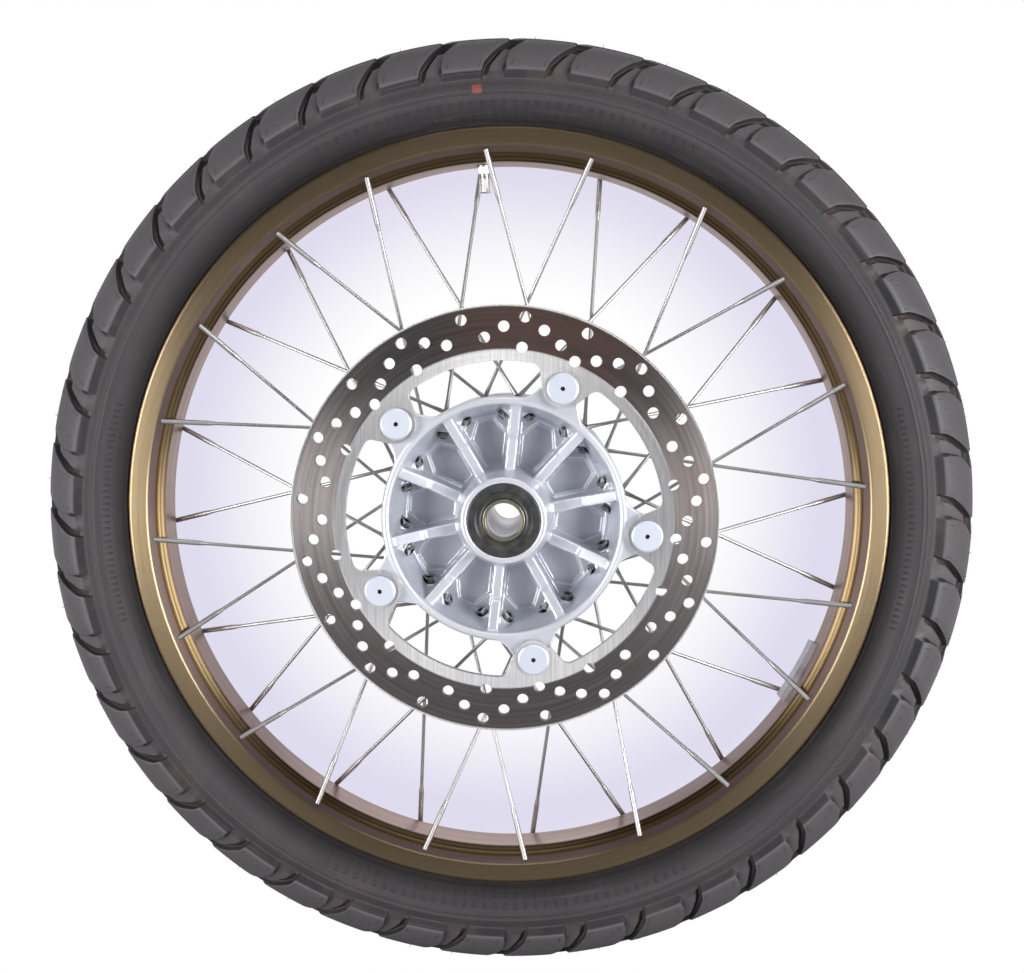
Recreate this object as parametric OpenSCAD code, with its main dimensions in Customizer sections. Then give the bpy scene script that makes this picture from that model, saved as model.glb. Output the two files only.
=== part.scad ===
// Spoked front wheel with a drilled brake disc, crossed spokes and ball bearings.
// Frame: origin at the wheel centre, axle along Y, disc side towards -Y, +Z up.
// Every module works in a flat layout (x right, y up, z towards the disc side);
// on_axle() turns that layout into the frame above.

/* [Tyre] */
// tyre outside diameter
tyre_d = 695; // [685:1:705]
// number of shoulder blocks on each side
tread_blocks = 44; // [36:1:52]
// depth of the tread grooves
groove_depth = 6; // [3:0.5:7]
// width of the tread grooves
groove_w = 5; // [4:0.5:8]
// slant of the tread grooves across the shoulder
groove_slant = 30; // [0:1:40]

/* [Rim] */
// diameter over the rim flanges
rim_flange_d = 563; // [560:0.5:566]
// inside width between the flanges
rim_w = 47; // [46:0.5:50]
// inner radius of the rim well, where the valve sits
well_r = 257.6; // [256.5:0.1:258]
// radius of the inner edge of the flat flange band
band_r = 268; // [267.5:0.1:268.5]

/* [Spokes] */
// half angle between two spokes that share a rim pair
rim_pair_half = 8.5; // [8:0.1:9]
// half angle between two nipples that share a hub rib
hub_pair_half = 7.5; // [7:0.1:8]
// diameter of the butted spoke near the rim
spoke_butt_d = 3.9; // [3.6:0.1:4]
// diameter of the slim middle of the spoke
spoke_mid_d = 2.6; // [2.2:0.1:2.8]
// length of the butted stretch
spoke_butt_l = 34; // [20:1:50]

/* [Hub] */
// radius of the hub flange between its lobes
flange_r = 88; // [87:0.5:89]
// distance of the disc-side boss face from the wheel centre plane
boss_face_disc = 66; // [65.5:0.5:68]
// distance of the plain-side boss face from the wheel centre plane
boss_face_plain = 54; // [53.5:0.5:56]
// rib thickness
rib_w = 7.5; // [6:0.5:8.5]
// height of the bowl floor above the centre plane
floor_z = 25; // [23:1:26]
// depth of the floor pockets
pocket_depth = 2.5; // [1:0.5:3]

/* [Brake disc] */
// disc outside diameter
disc_d = 305; // [300:1:310]
// disc thickness
disc_t = 5; // [4:0.5:5.5]
// inner radius of the disc ring
disc_ring_r = 113.3; // [112.5:0.1:115]
// diameter of the vent holes
vent_d = 8; // [6:0.5:8.5]
// radius of the bolt circle
bolt_circle_r = 102.3; // [102:0.1:102.6]
// diameter of the flat bolt heads
bolt_head_d = 22.4; // [18:0.2:23]

/* [Bearings] */
// balls in each bearing
ball_count = 9; // [7:1:9]
// width of one bearing cage
cage_w = 10; // [9:0.5:11]

/* [Valve and weight] */
// angle of the valve around the rim
valve_angle = 93.8; // [93:0.1:94.5]
// angle of the balance weight around the rim
weight_angle = -29; // [-60:1:-10]
// length of the balance weight along the rim
weight_l = 50; // [20:1:60]

/* [Hidden] */
$fn = 96;
eps = 0.02;
disc_side = 1;
plain_side = -1;
pairs = 10;
pair_pitch = 360 / pairs;

// tyre section
tyre_r = tyre_d / 2;
crown_r = 46;
crown_centre = tyre_r - crown_r;
crown_t = 8;
cavity_r = crown_r - crown_t;
shoulder_r = crown_centre + 8;
cavity_join_r = crown_centre + 4;
bead_r = 267.5;
bead_z = 12.5;
bead_bevel = 3;

// rim section
flange_tip_r = rim_flange_d / 2;
flange_in_z = rim_w / 2;
flange_out_z = flange_in_z + 4;
band_z = flange_out_z - 1.5;
lip_round = 2;
ledge_r = 262.5;
ledge_z = 16;
well_z = 13.5;
well_t = 2.8;
seat_in_z = 12;

// lacing: a spoke leaves one hub side and ends on the other rim edge
lace_step = 3;
edge_turn_plain = 0.4;
edge_turn_disc = 0.8;
nipple_r = 74.8;
nipple_z = 34;
spoke_rim_r = 269.4;
spoke_rim_z = 21.6;
rim_cover = 3.5;
socket_r = spoke_butt_d / 2 + eps;

// nipple, measured along its own axis from the hub point
head_start = -2.6;
head_flat = 7;
collar_start = 0.7;
nipple_collar_r = 4.4;
seat_s = 2.2;
key_r = 2.3;
key_depth = 3;
pad_rise = 1.2;
pad_l = 9;
spot_r = nipple_collar_r + 0.4;
spot_l = 10;
hole_slack = 0.1;
hole_l = 26;
barrel_end = 18;
barrel_r = 2.5;
thread_r = 1.65;
thread_end = 22;
spoke_start = 0.6;
socket_depth = 12;
taper_l = 6;

// hub section
floor_t = 6;
wall_foot_r = 74.5;
wall_lip_r = 82.5;
wall_out_foot_r = 80;
boss_foot_r = 36.2;
boss_top_r = 31;
tube_r = 33;
tube_bore_r = 20;
disc_seat_z = 60;
ridge_rise = 0.5;
lip_z_disc = disc_seat_z + ridge_rise;
lip_z_plain = 48;
tab_t = 10;
tab_tip_r = 12;
tab_fillet_r = 29;
flank_angle = 21.5;
flank_bite = 2.5;
first_bolt = 66;
bolts = 5;
bolt_pitch = 360 / bolts;
rib_angle_disc = 84;
rib_angle_plain = 66;
boss_pad_r = 7.2;
ridge_mid_r = (wall_lip_r + flange_r) / 2;
ridge_r = (flange_r - wall_lip_r) / 2 + 0.35;
bore_r = 12.5;
bearing_r = 26;
bearing_w = 15;
seal_r = 26.7;
seal_seat_l = 7.5;

// disc
disc_back_z = disc_seat_z + eps;
lug_root = [106.9, 19.4];
lug_end = [96, 13.4];
lug_tip_r = 13;
corner_r = 6.5;
corner_centre = [103.8, 25.1];
bolt_shank_r = 4;
bolt_head_t = 3;
bolt_bevel = 0.8;
bolt_key_r = 1.8;
bolt_key_depth = 2.2;
bolt_l = 16;

// bearing
pitch_r = 19.5;
ball_r = 3.969;
track_r = 4.04;
inner_land_r = 15.4;
outer_land_r = 22.9;
cage_r_in = 18.3;
cage_r_out = 20.7;
shield_t = 1;
collar_r = 15.2;
sleeve_r = 16;

// valve, measured inwards from the well surface
valve_hole_r = 4.2;
stem_r = 3.9;
stem_foot = -8.2;
stem_foot_t = 2;
stem_foot_r = 7.5;
stem_bore_r = 1.7;
tip_r = 3.4;
tip_start = 9;
tip_end = 18.5;
seal_t = 2.3;
seal_slack = 0.35;
nut_start = 0.4;
nut_washer_r = 5.4;
nut_washer_t = 1;
nut_flat = 8.6;
nut_t = 4.9;
core_start = 6;
core_l = 11.5;
pin_r = 0.88;
pin_start = 5.4;
pin_l = 12.9;
pin_foot_r = 1.4;
pin_foot_t = 1.3;
cap_r = 4.2;
cap_start = 9.2;
cap_l = 10.3;
cap_crown_t = 0.8;
cap_depth = 9.8;
flutes = 12;
flute_r = 0.6;

// balance weight
weight_t = 4.6;
weight_w = 12;
weight_z = -13;

function on_circle(r, a, z) = [r * cos(a), r * sin(a), z];
function boss_face(side) = side > 0 ? boss_face_disc : boss_face_plain;
function lip_z(side) = side > 0 ? lip_z_disc : lip_z_plain;
function rib_angle(side) = side > 0 ? rib_angle_disc : rib_angle_plain;
function hub_angle(side, k, hand) = rib_angle(side) + k * pair_pitch + hand * hub_pair_half;
function hub_point(side, k, hand) =
    on_circle(nipple_r, hub_angle(side, k, hand), side * (nipple_z + hand * lace_step));
function edge_turn(side) = side > 0 ? edge_turn_plain : edge_turn_disc;
function rim_angle(side, k, hand) =
    rib_angle(side) + k * pair_pitch - hand * (pair_pitch / 2 + rim_pair_half) + edge_turn(side);
function rim_point(side, k, hand) = on_circle(spoke_rim_r, rim_angle(side, k, hand), -side * spoke_rim_z);

// the same section points on the other side of the centre plane, in reverse order
function mirrored(points) = [for (i = [len(points) - 1 : -1 : 0]) [points[i][0], -points[i][1]]];

// turns the flat layout so that the axle lies along Y
module on_axle() {
    rotate([90, 0, 0]) children();
}

// puts the z axis of its children on the line from a to b, with z = 0 at a
module along(a, b) {
    d = b - a;
    translate(a) rotate([0, acos(d[2] / norm(d)), atan2(d[1], d[0])]) children();
}

// a ring between two radii and two heights
module ring(r_in, r_out, z_low, z_high) {
    rotate_extrude() translate([r_in, z_low]) square([r_out - r_in, z_high - z_low]);
}

// mirrors a part built for the disc side to the plain side
module on_side(side) {
    if (side > 0) children();
    else mirror([0, 0, 1]) children();
}

/* ---------- tyre ---------- */

// outside of one sidewall, from the shoulder step down to the bead toe
sidewall_out = [[shoulder_r + 2, crown_r - 3],
                [shoulder_r - 3, crown_r - 1.8],
                [297, 43.2],
                [290, 36.5],
                [285.5, 30.2],
                [283.6, 25.6],
                [281.4, flange_in_z - 0.1],
                [bead_r + bead_bevel, flange_in_z - 0.1],
                [bead_r + eps, flange_in_z - bead_bevel - 0.1],
                [bead_r + eps, bead_z]];

// air space below the crown, from the bead toe up to the shoulder
cavity_side = [[bead_r - 1, bead_z],
               [bead_r + eps, bead_z],
               [271, seat_in_z - 0.5],
               [278, 18.5],
               [286, 27],
               [293, 35],
               [cavity_join_r, cavity_r - 0.5]];

// the part of a crown circle that lies beyond one radius
module crown_cut(r, from_r) {
    intersection() {
        translate([crown_centre, 0]) circle(r = r);
        translate([from_r, -r - 1]) square([r + crown_r, 2 * r + 2]);
    }
}

module tyre_section() {
    difference() {
        union() {
            crown_cut(crown_r, shoulder_r);
            polygon(concat(sidewall_out, mirrored(sidewall_out)));
        }
        crown_cut(cavity_r, cavity_join_r - 1);
        polygon(concat(cavity_side, mirrored(cavity_side)));
    }
}

// one slanted groove across the disc-side shoulder
module tread_groove() {
    groove_l = 48;
    shoulder_turn = 47;
    translate([crown_centre, 0, 0])
        rotate([0, -shoulder_turn, 0])
            rotate([-groove_slant, 0, 0])
                translate([crown_r - groove_depth, -groove_w / 2, -groove_l / 2])
                    cube([3 * groove_depth, groove_w, groove_l]);
}

module tyre() {
    color([0.2, 0.2, 0.21]) on_axle() difference() {
        rotate_extrude($fn = 180) tyre_section();
        for (k = [0 : tread_blocks - 1]) {
            rotate([0, 0, k * 360 / tread_blocks]) tread_groove();
            rotate([0, 0, (k + 0.5) * 360 / tread_blocks]) mirror([0, 0, 1]) tread_groove();
        }
    }
}

/* ---------- rim ---------- */

// disc-side half of the rim section, from the well bottom round to the tyre side
rim_half = [[well_r, well_z],
            [ledge_r, ledge_z],
            [band_r, band_z],
            [flange_tip_r - lip_round, flange_out_z],
            [flange_tip_r, flange_out_z - 1],
            [flange_tip_r, flange_in_z + 1],
            [flange_tip_r - lip_round, flange_in_z],
            [bead_r + bead_bevel, flange_in_z],
            [bead_r, flange_in_z - bead_bevel],
            [bead_r, seat_in_z],
            [well_r + well_t, seat_in_z - 4]];

module rim() {
    color([0.55, 0.45, 0.3]) on_axle() difference() {
        rotate_extrude($fn = 180) polygon(concat(rim_half, mirrored(rim_half)));
        for (side = [disc_side, plain_side], k = [0 : pairs - 1], hand = [-1, 1])
            along(hub_point(side, k, hand), rim_point(side, k, hand))
                translate([0, 0, spoke_end(side, hand) - socket_depth])
                    cylinder(r = socket_r, h = socket_depth + eps, $fn = 32);
        at_valve() translate([0, 0, -10]) cylinder(r = valve_hole_r, h = 20, $fn = 48);
    }
}

/* ---------- spokes and nipples ---------- */

// a spoke stops short of the point it aims at, so that the rim stays closed behind it
function spoke_end(side, hand) = norm(rim_point(side, 0, hand) - hub_point(side, 0, hand)) - rim_cover;

// slim spoke with a butted rim end and a threaded hub end
module spoke(l) {
    butt_r = spoke_butt_d / 2;
    mid_r = spoke_mid_d / 2;
    rotate_extrude($fn = 32)
        polygon([[0, spoke_start],
                 [thread_r, spoke_start],
                 [thread_r, thread_end],
                 [mid_r, thread_end + taper_l],
                 [mid_r, l - spoke_butt_l - taper_l],
                 [butt_r, l - spoke_butt_l],
                 [butt_r, l],
                 [0, l]]);
}

module spokes(side) {
    on_axle() for (k = [0 : pairs - 1], hand = [-1, 1])
        along(hub_point(side, k, hand), rim_point(side, k, hand)) spoke(spoke_end(side, hand));
}

// spokes that end on the disc-side rim edge start on the plain side of the hub
module spokes_disc_edge() {
    color([0.78, 0.79, 0.8]) spokes(plain_side);
}

module spokes_plain_edge() {
    color([0.72, 0.73, 0.75]) spokes(disc_side);
}

module nipple() {
    difference() {
        union() {
            translate([0, 0, head_start])
                cylinder(d = head_flat / cos(30), h = collar_start - head_start + 0.2, $fn = 6);
            translate([0, 0, collar_start]) cylinder(r = nipple_collar_r, h = seat_s - collar_start, $fn = 32);
            translate([0, 0, seat_s - 0.2]) cylinder(r = barrel_r, h = barrel_end - seat_s + 0.2, $fn = 32);
        }
        translate([0, 0, head_start - 1]) cylinder(r = key_r, h = key_depth + 1, $fn = 6);
        translate([0, 0, head_start]) cylinder(r = thread_r + eps, h = barrel_end - head_start + 1, $fn = 32);
    }
}

module nipples(side) {
    color([0.82, 0.83, 0.85]) on_axle() for (k = [0 : pairs - 1], hand = [-1, 1])
        along(hub_point(side, k, hand), rim_point(side, k, hand)) nipple();
}

module nipples_disc_side() {
    nipples(disc_side);
}

module nipples_plain_side() {
    nipples(plain_side);
}

/* ---------- hub ---------- */

// one half of the revolved hub casting, before ribs, lobes and holes
function hub_half(face, lip) =
    [[tube_bore_r, face - seal_seat_l - bearing_w],
     [bearing_r, face - seal_seat_l - bearing_w],
     [bearing_r, face - seal_seat_l],
     [seal_r, face - seal_seat_l],
     [seal_r, face],
     [boss_top_r - 1, face],
     [boss_top_r, face - 1],
     [boss_foot_r - 1.6, face - 16],
     [boss_foot_r, floor_z],
     [wall_foot_r, floor_z],
     [wall_lip_r, lip - ridge_r],
     [flange_r, lip - ridge_r],
     [flange_r, lip - 7],
     [flange_r - 1.5, lip - 9],
     [wall_out_foot_r, floor_z + 2],
     [wall_out_foot_r - 4, floor_z - floor_t],
     [tube_r + 10, floor_z - floor_t],
     [tube_r, floor_z - floor_t - 8]];

// round ridge that runs along the top of the bowl wall
module lip_ridge(side) {
    rotate_extrude($fn = 180) translate([ridge_mid_r, side * (lip_z(side) - ridge_r)]) circle(r = ridge_r, $fn = 48);
}

// rib that climbs from the boss to the bowl lip, with a step partway
module rib(side) {
    lip = lip_z(side);
    low = lip - 14;
    foot = floor_z - 3;
    step_r = 58;
    rotate([90, 0, 0]) translate([0, 0, -rib_w / 2]) linear_extrude(rib_w)
        polygon([[boss_foot_r - 4, foot],
                 [boss_foot_r - 4, low],
                 [step_r, low + 1.5],
                 [step_r + 3, low + 4.5],
                 [ridge_mid_r, lip - 3],
                 [wall_foot_r + 3, foot]]);
}

// six-sided pocket in the floor between two ribs
module pocket() {
    corners = [[37.5, 9], [60.5, 12.6], [72, 4.9], [72, -4.9], [60.5, -12.6], [37.5, -9]];
    linear_extrude(pocket_depth + 1)
        polygon([for (c = corners) [c[0] * cos(c[1]), c[0] * sin(c[1])]]);
}

// lobe that carries one disc bolt, with hollow flanks
module bolt_lobe_outline() {
    flank = (flange_r + tab_fillet_r - flank_bite) * [cos(flank_angle), sin(flank_angle)];
    difference() {
        polygon([[70, -26], [82.5, -31.5], [104, -13], [104, 13], [82.5, 31.5], [70, 26]]);
        translate(flank) circle(r = tab_fillet_r);
        translate([flank[0], -flank[1]]) circle(r = tab_fillet_r);
        circle(r = ridge_mid_r);
    }
    translate([bolt_circle_r, 0]) circle(r = tab_tip_r);
}

module at_bolts() {
    for (k = [0 : bolts - 1]) rotate([0, 0, first_bolt + k * bolt_pitch]) children();
}

module nipple_pads(side) {
    for (k = [0 : pairs - 1], hand = [-1, 1])
        along(hub_point(side, k, hand), rim_point(side, k, hand))
            translate([0, 0, seat_s - pad_rise]) cylinder(r = boss_pad_r, h = pad_l, $fn = 32);
}

// through holes for the nipple barrels, each with a spot-faced seat for the head
module nipple_holes(side) {
    for (k = [0 : pairs - 1], hand = [-1, 1])
        along(hub_point(side, k, hand), rim_point(side, k, hand)) {
            translate([0, 0, head_start]) cylinder(r = barrel_r + hole_slack, h = hole_l, $fn = 32);
            translate([0, 0, seat_s - spot_l]) cylinder(r = spot_r, h = spot_l, $fn = 32);
        }
}

module hub() {
    color([0.78, 0.8, 0.83]) on_axle() difference() {
        union() {
            rotate_extrude($fn = 180)
                polygon(concat(hub_half(boss_face_disc, lip_z_disc),
                               mirrored(hub_half(boss_face_plain, lip_z_plain))));
            at_bolts() translate([0, 0, disc_seat_z - tab_t]) linear_extrude(tab_t) bolt_lobe_outline();
            for (side = [disc_side, plain_side]) {
                for (k = [0 : pairs - 1])
                    rotate([0, 0, rib_angle(side) + k * pair_pitch]) on_side(side) rib(side);
                nipple_pads(side);
                lip_ridge(side);
            }
        }
        for (side = [disc_side, plain_side]) {
            for (k = [0 : pairs - 1])
                rotate([0, 0, rib_angle(side) + (k + 0.5) * pair_pitch])
                    on_side(side) translate([0, 0, floor_z - pocket_depth]) pocket();
            nipple_holes(side);
        }
        at_bolts() translate([bolt_circle_r, 0, disc_seat_z - tab_t - 1])
            cylinder(r = bolt_shank_r + eps, h = tab_t + 2, $fn = 48);
    }
}

/* ---------- brake disc ---------- */

module disc_lug_outline() {
    difference() {
        polygon([[disc_ring_r + 2, -28], [disc_ring_r + 2, 28], [110.1, 26.6], lug_root, lug_end,
                 [lug_end[0], -lug_end[1]], [lug_root[0], -lug_root[1]], [110.1, -26.6]]);
        translate(corner_centre) circle(r = corner_r, $fn = 48);
        translate([corner_centre[0], -corner_centre[1]]) circle(r = corner_r, $fn = 48);
    }
    translate([bolt_circle_r - 0.6, 0]) circle(r = lug_tip_r);
}

// one fifth of the vent hole pattern, around a bolt
module vent_group() {
    for (k = [0 : 3]) rotate([0, 0, k * 18]) translate([144.5, 0]) vent();
    for (a = [12, 24, 48, 60]) rotate([0, 0, a]) translate([137.2, 0]) vent();
    for (a = [-6, 6, 30, 42]) rotate([0, 0, a]) translate([130.1, 0]) vent();
    for (a = [-18, 0, 18]) rotate([0, 0, a]) translate([123, 0]) vent();
}

module vent() {
    translate([0, 0, -1]) cylinder(d = vent_d, h = disc_t + 2, $fn = 32);
}

module brake_disc() {
    color([0.6, 0.58, 0.56]) on_axle() translate([0, 0, disc_back_z]) difference() {
        linear_extrude(disc_t) {
            difference() {
                circle(d = disc_d, $fn = 180);
                circle(r = disc_ring_r, $fn = 180);
            }
            at_bolts() disc_lug_outline();
        }
        at_bolts() vent_group();
        at_bolts() translate([bolt_circle_r, 0, -1]) cylinder(r = bolt_shank_r + 0.1, h = disc_t + 2, $fn = 48);
    }
}

// flat-headed bolt with a small driving socket
module disc_bolt() {
    difference() {
        union() {
            cylinder(r = bolt_shank_r, h = bolt_l, $fn = 48);
            translate([0, 0, bolt_l]) cylinder(d = bolt_head_d, h = bolt_head_t - bolt_bevel, $fn = 64);
            translate([0, 0, bolt_l + bolt_head_t - bolt_bevel])
                cylinder(d1 = bolt_head_d, d2 = bolt_head_d - 3 * bolt_bevel, h = bolt_bevel, $fn = 64);
        }
        translate([0, 0, bolt_l + bolt_head_t - bolt_key_depth])
            cylinder(r = bolt_key_r, h = bolt_key_depth + 1, $fn = 6);
    }
}

module disc_bolts() {
    color([0.85, 0.87, 0.9]) on_axle() at_bolts()
        translate([bolt_circle_r, 0, disc_back_z + disc_t - bolt_l]) disc_bolt();
}

/* ---------- bearings, seals and axle pieces ---------- */

function bearing_mid(side) = side * (boss_face(side) - seal_seat_l - bearing_w / 2);

module at_bearing(side) {
    translate([0, 0, bearing_mid(side)]) children();
}

module ball_track() {
    rotate_extrude() translate([pitch_r, 0]) circle(r = track_r, $fn = 48);
}

module outer_race(side) {
    color([0.7, 0.71, 0.73]) on_axle() at_bearing(side) difference() {
        ring(outer_land_r, bearing_r - eps, -bearing_w / 2, bearing_w / 2);
        ball_track();
    }
}

module inner_race(side) {
    color([0.7, 0.71, 0.73]) on_axle() at_bearing(side) difference() {
        ring(bore_r, inner_land_r, -bearing_w / 2, bearing_w / 2);
        ball_track();
    }
}

module bearing_balls(side) {
    color([0.8, 0.81, 0.83]) on_axle() at_bearing(side) for (k = [0 : ball_count - 1])
        rotate([0, 0, k * 360 / ball_count]) translate([pitch_r, 0, 0]) sphere(r = ball_r, $fn = 48);
}

module bearing_cage(side) {
    color([0.72, 0.6, 0.35]) on_axle() at_bearing(side) difference() {
        ring(cage_r_in, cage_r_out, -cage_w / 2, cage_w / 2);
        for (k = [0 : ball_count - 1])
            rotate([0, 0, k * 360 / ball_count]) translate([cage_r_in - 2, 0, 0])
                rotate([0, 90, 0]) cylinder(r = track_r, h = 8, $fn = 48);
    }
}

module bearing_shields(side) {
    color([0.15, 0.15, 0.16]) on_axle() at_bearing(side) for (end = [-1, 1])
        translate([0, 0, end * (bearing_w / 2 - shield_t)])
            ring(inner_land_r + 0.05, outer_land_r - eps, -shield_t / 2, shield_t / 2);
}

// lipped seal that runs on the axle collar
module shaft_seal(side) {
    face = boss_face(side);
    color([0.13, 0.13, 0.14]) on_axle() on_side(side) rotate_extrude()
        polygon([[seal_r - eps, face - seal_seat_l + 0.5],
                 [seal_r - eps, face - 0.8],
                 [seal_r - 1.2, face - 0.4],
                 [21, face - 0.8],
                 [19.6, face - 1.8],
                 [17.4, face - 1.8],
                 [collar_r + 1, face - 1.2],
                 [collar_r + 0.05, face - 2],
                 [collar_r + 0.05, face - 3.4],
                 [18.5, face - 4.4],
                 [18.5, face - seal_seat_l + 0.5]]);
}

module axle_collar(side) {
    face = boss_face(side);
    color([0.62, 0.58, 0.45]) on_axle() on_side(side) rotate_extrude()
        polygon([[bore_r, face - seal_seat_l],
                 [bore_r, face - 1.3],
                 [bore_r + 0.5, face - 0.8],
                 [collar_r - 0.4, face - 0.8],
                 [collar_r, face - 1.2],
                 [collar_r, face - seal_seat_l]]);
}

module distance_sleeve() {
    low = -(boss_face_plain - seal_seat_l - bearing_w);
    high = boss_face_disc - seal_seat_l - bearing_w;
    color([0.66, 0.67, 0.69]) on_axle() ring(bore_r, sleeve_r, low, high);
}

module outer_race_disc_side() {
    outer_race(disc_side);
}

module outer_race_plain_side() {
    outer_race(plain_side);
}

module inner_race_disc_side() {
    inner_race(disc_side);
}

module inner_race_plain_side() {
    inner_race(plain_side);
}

module bearing_balls_disc_side() {
    bearing_balls(disc_side);
}

module bearing_balls_plain_side() {
    bearing_balls(plain_side);
}

module bearing_cage_disc_side() {
    bearing_cage(disc_side);
}

module bearing_cage_plain_side() {
    bearing_cage(plain_side);
}

module bearing_shields_disc_side() {
    bearing_shields(disc_side);
}

module bearing_shields_plain_side() {
    bearing_shields(plain_side);
}

module shaft_seal_disc_side() {
    shaft_seal(disc_side);
}

module shaft_seal_plain_side() {
    shaft_seal(plain_side);
}

module axle_collar_disc_side() {
    axle_collar(disc_side);
}

module axle_collar_plain_side() {
    axle_collar(plain_side);
}

/* ---------- valve and balance weight ---------- */

// z = 0 on the well surface, z growing inwards to the hub
module at_valve() {
    rotate([0, 0, valve_angle]) translate([well_r, 0, 0]) rotate([0, -90, 0]) children();
}

module valve_stem() {
    foot_top = stem_foot + stem_foot_t;
    color([0.75, 0.72, 0.62]) on_axle() at_valve() difference() {
        rotate_extrude($fn = 48)
            polygon([[0, stem_foot],
                     [stem_foot_r - 0.5, stem_foot],
                     [stem_foot_r, stem_foot + 0.5],
                     [stem_foot_r, foot_top],
                     [stem_r, foot_top + 0.8],
                     [stem_r, tip_start - 0.5],
                     [tip_r, tip_start],
                     [tip_r, tip_end],
                     [0, tip_end]]);
        translate([0, 0, stem_foot - 1]) cylinder(r = stem_bore_r, h = tip_end - stem_foot + 2, $fn = 32);
    }
}

module valve_seal() {
    color([0.12, 0.12, 0.12]) on_axle() at_valve() difference() {
        translate([0, 0, -well_t - seal_t]) cylinder(r = stem_foot_r - 0.3, h = seal_t - seal_slack, $fn = 48);
        translate([0, 0, -well_t - seal_t - 1]) cylinder(r = stem_r + eps, h = seal_t + 2, $fn = 48);
    }
}

// round washer face and six-sided nut in one piece
module valve_nut() {
    color([0.85, 0.85, 0.86]) on_axle() at_valve() difference() {
        union() {
            translate([0, 0, nut_start]) cylinder(r = nut_washer_r, h = nut_washer_t, $fn = 48);
            translate([0, 0, nut_start + nut_washer_t - 0.1]) cylinder(d = nut_flat / cos(30), h = nut_t, $fn = 6);
        }
        translate([0, 0, -1]) cylinder(r = stem_r + eps, h = nut_t + 4, $fn = 48);
    }
}

module valve_core() {
    color([0.8, 0.68, 0.4]) on_axle() at_valve() difference() {
        translate([0, 0, core_start]) cylinder(r = stem_bore_r - eps, h = core_l, $fn = 32);
        translate([0, 0, core_start - 1]) cylinder(r = pin_r + 0.05, h = core_l + 2, $fn = 32);
    }
}

module valve_pin() {
    color([0.8, 0.68, 0.4]) on_axle() at_valve() {
        translate([0, 0, pin_start]) cylinder(r = pin_r, h = pin_l, $fn = 32);
        translate([0, 0, pin_start - 1]) cylinder(r = pin_foot_r, h = pin_foot_t, $fn = 32);
    }
}

// closed cap with shallow grip flutes
module valve_cap() {
    color([0.8, 0.78, 0.75]) on_axle() at_valve() difference() {
        union() {
            translate([0, 0, cap_start]) cylinder(r = cap_r, h = cap_l, $fn = 48);
            translate([0, 0, cap_start + cap_l])
                cylinder(r1 = cap_r, r2 = cap_r - cap_crown_t, h = cap_crown_t, $fn = 48);
        }
        translate([0, 0, cap_start - 1]) cylinder(r = tip_r + 0.05, h = cap_depth + 1, $fn = 48);
        for (k = [0 : flutes - 1]) rotate([0, 0, k * 360 / flutes])
            translate([cap_r + flute_r / 2, 0, cap_start + 1]) cylinder(r = flute_r, h = cap_l + 2, $fn = 24);
    }
}

module balance_weight() {
    half = weight_l / 2 / well_r * 180 / PI;
    color([0.72, 0.7, 0.74]) on_axle() rotate([0, 0, weight_angle - half])
        rotate_extrude(angle = 2 * half, $fn = 180)
            translate([well_r - weight_t, weight_z]) square([weight_t - eps, weight_w]);
}

tyre();
rim();
hub();
brake_disc();
disc_bolts();
spokes_disc_edge();
spokes_plain_edge();
nipples_disc_side();
nipples_plain_side();
shaft_seal_disc_side();
shaft_seal_plain_side();
outer_race_disc_side();
outer_race_plain_side();
bearing_shields_disc_side();
bearing_shields_plain_side();
bearing_balls_disc_side();
bearing_balls_plain_side();
bearing_cage_disc_side();
bearing_cage_plain_side();
inner_race_disc_side();
inner_race_plain_side();
distance_sleeve();
axle_collar_disc_side();
axle_collar_plain_side();
valve_stem();
valve_seal();
valve_nut();
valve_core();
valve_pin();
valve_cap();
balance_weight();
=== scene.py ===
"""Looks for the spoked wheel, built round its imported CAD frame."""
import math
import random

import bmesh
import bpy
from mathutils import Matrix, Vector


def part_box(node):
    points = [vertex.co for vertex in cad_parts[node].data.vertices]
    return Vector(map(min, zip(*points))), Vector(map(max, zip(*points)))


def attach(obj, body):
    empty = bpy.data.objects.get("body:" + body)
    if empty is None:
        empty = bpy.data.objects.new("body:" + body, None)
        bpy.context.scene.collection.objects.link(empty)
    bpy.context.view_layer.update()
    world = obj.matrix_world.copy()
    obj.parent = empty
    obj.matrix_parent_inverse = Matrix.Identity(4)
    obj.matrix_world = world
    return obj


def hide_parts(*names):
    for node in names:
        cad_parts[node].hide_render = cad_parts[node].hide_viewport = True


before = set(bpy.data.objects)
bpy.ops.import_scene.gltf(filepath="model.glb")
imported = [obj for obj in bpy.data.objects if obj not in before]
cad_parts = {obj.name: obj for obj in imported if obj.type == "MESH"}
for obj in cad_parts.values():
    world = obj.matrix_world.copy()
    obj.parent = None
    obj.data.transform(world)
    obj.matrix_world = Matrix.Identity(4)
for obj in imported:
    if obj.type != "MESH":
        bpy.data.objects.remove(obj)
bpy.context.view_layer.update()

MM = 0.001
random.seed(7)                        # draws only the moulding hairs

# outer radii taken from the frame, in millimetres like all radii and widths below
TYRE_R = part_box("tyre")[1].x / MM
RIM_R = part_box("rim")[1].x / MM

# the floor under the tyre, and the main camera's place, line of sight and lens, in the scene's metres
FLOOR_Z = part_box("tyre")[0].z
CAMERA_AT = (0.03574, -0.99066, 0.11377)
CAMERA_LOOKS = (-0.0321, 0.9949, -0.0961)
CAMERA_LENS = 46.18
SHADE_CENTRE = (0, 0, 0.015)          # what the backdrop's shade is drawn round

# ---------------------------------------------------------------- mesh helpers


def place(r, angle, z):
    """A point at radius r, angle counter-clockwise seen from the disc side, z towards the disc side."""
    a = math.radians(angle)
    return (r * math.cos(a) * MM, -z * MM, r * math.sin(a) * MM)


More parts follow.
